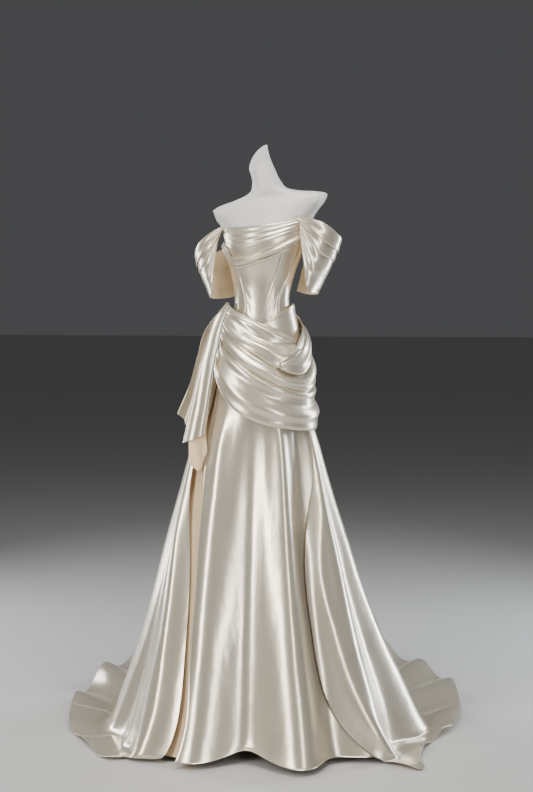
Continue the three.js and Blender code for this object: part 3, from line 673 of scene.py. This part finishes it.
def skirt_section(angle, z, off):
    """The level section: a quarter of an ellipse for each of the four sides."""
    a = np.radians(angle)
    wide = np.where(np.sin(a) > 0, track(SKIRT, "z", "left", z), track(SKIRT, "z", "right", z)) + off
    deep = np.where(np.cos(a) > 0, track(SKIRT, "z", "front", z), track(SKIRT, "z", "back", z)) + off
    return points(wide * np.sin(a), -deep * np.cos(a), z)


def swept(p):
    """Turn the skirt's own frame to the left about the pole."""
    c, s = math.cos(SWEEP), math.sin(SWEEP)
    return points(p[..., 0] * c - p[..., 1] * s, p[..., 0] * s + p[..., 1] * c, p[..., 2])


def between(angle, middle):
    """The angle from a middle, taken the short way round."""
    return angle - middle - 360 * np.round((angle - middle) / 360)


def fold_depth(angle, z):
    """A bell for each fold, sliding from its place at the hip to its place at the hem, all added up."""
    down = np.clip((FOLDS_FROM - z) / FOLDS_FROM, 0, 1)[..., None]
    width = FOLDS["width"] * (1 + 0.35 * down)
    t = between(angle[..., None], mix(FOLDS["top"], FOLDS["hem"], down)) / width
    depth = (mix(FOLDS["start"], FOLDS["end"], down) * np.exp(-1.6 * t * t)).sum(-1)
    return depth * ease(0, 0.12, down[..., 0])


def skirt_point(angle, v, off):
    """The wall for v from 0 to 1, and what lies on the floor for v from 1 to 2."""
    straight = (WAIST_SEAM - SEAM) * (1 - np.minimum(v, 1)) ** 1.15
    lying = np.maximum(0, v - 1)
    height = HEM_ROLL * np.log1p(np.exp((straight - lying * TRAIN_DROP) / HEM_ROLL))
    p = skirt_section(angle, straight, off)
    a = np.radians(angle)
    depth = fold_depth(angle, straight) * (1 - 0.75 * ease(0, 1, lying))
    wave = np.sin(np.radians(angle * 11 + 60 * np.sin(v * 2.3)))
    fine = 1.3 * ease(0.12, 0.5, v) * ease(1.9, 1.2, v) * wave
    fine = fine + 5 * hump(v, 1.02, 0.09) * np.sin(np.radians(angle * 9 + 40))
    x = p[..., 0] + (depth + fine) * np.sin(a)
    y = p[..., 1] - (depth + fine) * np.cos(a)
    wall = np.hypot(x, y)
    hem = np.maximum(track(HEM, "angle", "reach", np.where(angle > 190, angle - 360, angle)), wall)
    grow = 1 + (hem - wall) * lying / wall
    z = np.minimum(height + CLOTH + FLOOR_CLEAR, WAIST_SEAM - SEAM)
    return points(x * grow, y * grow, z)


def ripple_rise(angle, v):
    """Height off the floor: a bell for each flute, growing to the hem, and small waves between them."""
    t = between(angle[..., None], RIPPLES["angle"]) / RIPPLES["width"]
    small = 8 * (1 + np.sin(np.radians(angle * 13 + 50 * np.sin(v * 3))))
    return ease(1.1, 2, v) * (RIPPLES["rise"] * np.exp(-t * t)).sum(-1) + small * ease(1.05, 1.35, v)


# %% Skirt panels
SLIT = table("v front side", """
0 -66 -70
0.3 -48 -62
0.51 -38 -47
0.7 -34 -40
0.86 -30 -36
1 -31 -38
1.15 -31 -44
1.4 -31 -49
2 -31 -53
""")
LAP = table("v over under", """
0 66 78
0.26 58 70
0.49 32 48
0.66 29 44
0.78 29 43
0.86 32 44
1 41 49
1.3 43 49
2 44 49
""")
OVERLAY, EDGE_ROLL, HEM_BEAD = 2, 12, 1.2
HEM_LIFT, HEM_LIFT_ANGLE = 24, -6
RIDGE, HOLLOW, ROLL_AT_WAIST = 13, 7, 7


def front_panel():
    """From the slit's edge to the one tucked under the left panel; the hem lifts a little at the front."""
    u, v = grid(140, 116)
    angle = mix(track(SLIT, "v", "front", v), track(LAP, "v", "under", v), u)
    tuck = ease(0.5, 0.8, u) * (7 + 15 * ease(0.2, 0.5, v))
    bead = HEM_BEAD * (hump(v, 1, 0.0035) + hump(u, 0, 0.006))
    p = skirt_point(angle, v, bead - tuck)
    p[..., 2] += HEM_LIFT * hump(angle, HEM_LIFT_ANGLE, 9) * hump(v, 1, 0.05)
    return swept(p)


def train_panel(start, end, rolled_end):
    """A panel between two edges, with the train; a free edge turns in behind a ridge."""
    u, v = grid(112, 150)
    v = v * 2
    angle = mix(start(v), end(v), u)
    from_edge = {"start": u, "end": 1 - u, "": 1 + 0 * u}[rolled_end]
    low = ease(0.3, 0.7, v) * ease(1.9, 1.2, v)
    near = np.clip(1 - from_edge / 0.14, 0, 1)
    off = OVERLAY + HEM_BEAD * hump(v, 2, 0.004) + RIDGE * low * hump(from_edge, 0.13, 0.06)
    off = off - HOLLOW * low * hump(from_edge, 0.30, 0.08)
    p = skirt_point(angle, v, off)
    away = p[..., :2] / np.linalg.norm(p[..., :2], axis=-1, keepdims=True)
    turned_in = near**2 * mix(ROLL_AT_WAIST, EDGE_ROLL, low) * ease(0.02, 0.1, v) * ease(1.9, 1.2, v)
    p[..., :2] -= away * turned_in[..., None]
    p[..., 2] += ripple_rise(angle, v)
    return swept(p)


def line(angle):
    """A seam that keeps one angle all the way down."""
    return lambda v: angle + 0 * v


sheet("skirt_front_panel", "skirt_front", front_panel())
PANELS = [
    ("side_left", lambda v: track(LAP, "v", "over", v), line(103.94), "start"),
    ("back_left", line(104.06), line(179.94), ""),
    ("back_right", line(180.06), line(255.94), ""),
    ("side_right", line(256.06), lambda v: 360 + track(SLIT, "v", "side", v), "end"),
]
for name, start, end, rolled_end in PANELS:
    places = train_panel(start, end, rolled_end)
    sheet(f"skirt_{name}_panel", f"skirt_{name}", places)

# %% Lining in the slit
LINING_TOP, LINING_HEM = 1120, 14
LINING_LEFT, LINING_RIGHT_AT_TOP, LINING_RIGHT_AT_HEM = -24, -84, -60
LINING_IN_AT_TOP, LINING_IN_AT_HEM = 12, 15

u, v = grid(42, 62)
z = mix(LINING_TOP, LINING_HEM, v)
angle = mix(mix(LINING_RIGHT_AT_TOP, LINING_RIGHT_AT_HEM, v), LINING_LEFT, u)
inside = mix(LINING_IN_AT_TOP, LINING_IN_AT_HEM, ease(0.1, 0.75, v)) + 2 * np.sin(u * 12) * v
places = swept(skirt_section(angle, z, -inside))
sheet("slit_lining", "skirt_lining", places, LINING, LINING)

# %% [markdown]
# ## Draped hip
# The overdrape is pleated into a seam on the right hip, and each pleat opens into a swag that falls
# across the front and rises behind the left hip. A swag is again a band with a rolled lower edge. Its
# finer folds run its length, crowd together at the gather and spread out as they fall, so they are placed
# by their share of the band's depth.

# %% Hip drape
DRAPE_COLUMNS = "angle top low offTop offLow"
LOWER = table(DRAPE_COLUMNS, """
-72 1244 1126 8 14
-50 1212 1064 8 17
-24 1172 996 8 17
0 1126 962 8 17
30 1091 945 8 17
60 1083 937 8 17
90 1108 937 8 17
112 1150 941 8 17
140 1206 948 8 17
175 1258 968 8 17
225 1296 1020 8 17
286 1300 1122 8 14
""")
MIDDLE = table(DRAPE_COLUMNS, """
-72 1282 1218 14 20
-50 1254 1188 14 27
-31 1226 1156 14 27
-3 1182 1103 14 27
30 1136 1065 14 27
57 1146 1056 14 27
75 1186 1064 14 27
90 1219 1082 14 27
112 1252 1124 14 26
140 1284 1180 14 24
175 1298 1232 14 20
200 1298 1258 14 16
""")
UPPER = table(DRAPE_COLUMNS, """
-72 1314 1256 13 24
-50 1297 1228 13 31
-31 1283 1200 13 31
-3 1258 1156 13 31
19 1243 1124 13 32
32 1230 1136 13 32
47 1212 1166 14 30
""")
CROSS = table(DRAPE_COLUMNS, """
19 1146 1123 40 40
30 1168 1110 37 40
43 1191 1105 32 38
54 1212 1114 27 36
66 1230 1138 21 35
80 1248 1172 16 33
100 1272 1214 14 29
130 1296 1252 14 27
158 1304 1272 14 24
""")
YOKE = table(DRAPE_COLUMNS, """
-6 1248 1238 6 6
5 1260 1232 6 6
28 1286 1214 6 6
50 1300 1192 6 6
72 1312 1212 6 6
110 1316 1240 6 6
""")
# the angle of the gather on the right hip, and how far its pleats stand out
GATHER_ANGLE, GATHER_PLEAT = -72, 2.0
# name, node, table, belly, roll of the lower edge, ridges as (share of depth, width, height)
DRAPES = [
    ("hip_swag_lower", "hip_drape_lower", LOWER, 7, 8, [
        (0.30, 0.09, 9.0), (0.46, 0.07, -4.0), (0.66, 0.13, 9.0)]),
    ("hip_swag_middle", "hip_drape_middle", MIDDLE, 5, 12, [(0.34, 0.10, -6.0), (0.68, 0.15, 7.0)]),
    ("hip_swag_upper", "hip_drape_upper", UPPER, 7, 14, [
        (0.14, 0.08, 6.0), (0.40, 0.11, -7.0), (0.70, 0.13, 8.0)]),
    ("hip_swag_cross", "hip_drape_cross", CROSS, 4, 8, [
        (0.05, 0.05, 3.5), (0.30, 0.09, -4.0), (0.60, 0.12, 4.5)]),
    ("hip_yoke_panel", "hip_yoke", YOKE, 0, 0, [(0.10, 0.05, 1.0)]),
]
for name, node, rows, belly, roll, ridges in DRAPES:
    u, v = grid(178 if node == "hip_drape_lower" else 130, 58)
    angle = mix(rows["angle"][0], rows["angle"][-1], u)
    at = {column: track(rows, "angle", column, angle) for column in ("top", "low", "offTop", "offLow")}
    off = mix(at["offTop"], at["offLow"], v) + belly * np.sin(np.pi * v) + rolled(v, roll)
    open_up = 0.35 + 0.65 * ease(0, 0.35, u)
    for place_v, wide, tall in ridges:
        drift = 0.05 * np.sin(2.4 * np.pi * u + place_v * 9)
        off = off + tall * open_up * hump(v, place_v + drift, wide * (0.7 + 0.5 * u))
    off = off + GATHER_PLEAT * hump(angle, GATHER_ANGLE, 9) * np.sin(v * 30)
    z = mix(at["top"], at["low"], v)
    sheet(name, node, swept(skirt_section(angle, z, off)))

# %% [markdown]
# ## Cascade
# The tail of the drape falls from the hip seam as two flaps, with a tongue of the wrong side showing
# below. Each is a ruled sheet between an outer and an inner edge, folded back along its middle.

# %% Cascade
CASCADE_COLUMNS = "t outX outY outZ inX inY inZ fold"
CASCADE_BACK = table(CASCADE_COLUMNS, """
0 -104 -14 1318 -98 4 1316 0
0.22 -170 -6 1237 -142 12 1232 4
0.42 -193 -6 1164 -170 12 1150 6
0.7 -220 -6 1068 -196 8 1040 8
1 -256 -4 985 -226 0 944 8
""")
CASCADE_FRONT = table(CASCADE_COLUMNS, """
0 -110 -32 1314 -98 -46 1312 0
0.12 -142 -34 1272 -118 -64 1246 4
0.32 -172 -34 1180 -134 -80 1172 8
0.5 -191 -44 1112 -146 -96 1104 10
0.74 -210 -56 1020 -158 -112 1014 12
1 -236 -66 900 -170 -124 930 12
""")
CASCADE_TONGUE = table(CASCADE_COLUMNS, """
0 -196 -43 1000 -159 -83 996 0
0.5 -217 -58 925 -166 -98 935 2
1 -216 -98 852 -162 -124 880 6
""")


# how far down the tongue's point hangs
TONGUE_POINT = 44


def flap(rows, point):
    """A ruled sheet with a valley in its middle, a soft ridge by each edge and a pointed lower edge."""
    u, t = grid(48, 102)
    edges = {key: track(rows, "t", key, t) for key in rows if key != "t"}
    p = points(*(mix(edges["out" + axis], edges["in" + axis], u) for axis in "XYZ"))
    valley = edges["fold"] * np.sin(np.pi * u) ** 2
    back = valley - 6 * t * hump(u, 0.82, 0.14) - 4 * t * hump(u, 0.1, 0.1)
    p[..., 0] += 0.5 * back
    p[..., 1] += 0.85 * back
    p[..., 2] -= point * t**4 * np.sin(np.pi * u)
    return swept(p)


sheet("cascade_back_flap", "cascade_back", flap(CASCADE_BACK, 0))
sheet("cascade_front_flap", "cascade_front", flap(CASCADE_FRONT, 0))
tongue = flap(CASCADE_TONGUE, TONGUE_POINT)
sheet("cascade_tongue_fold", "cascade_tongue", tongue, LINING, SATIN)
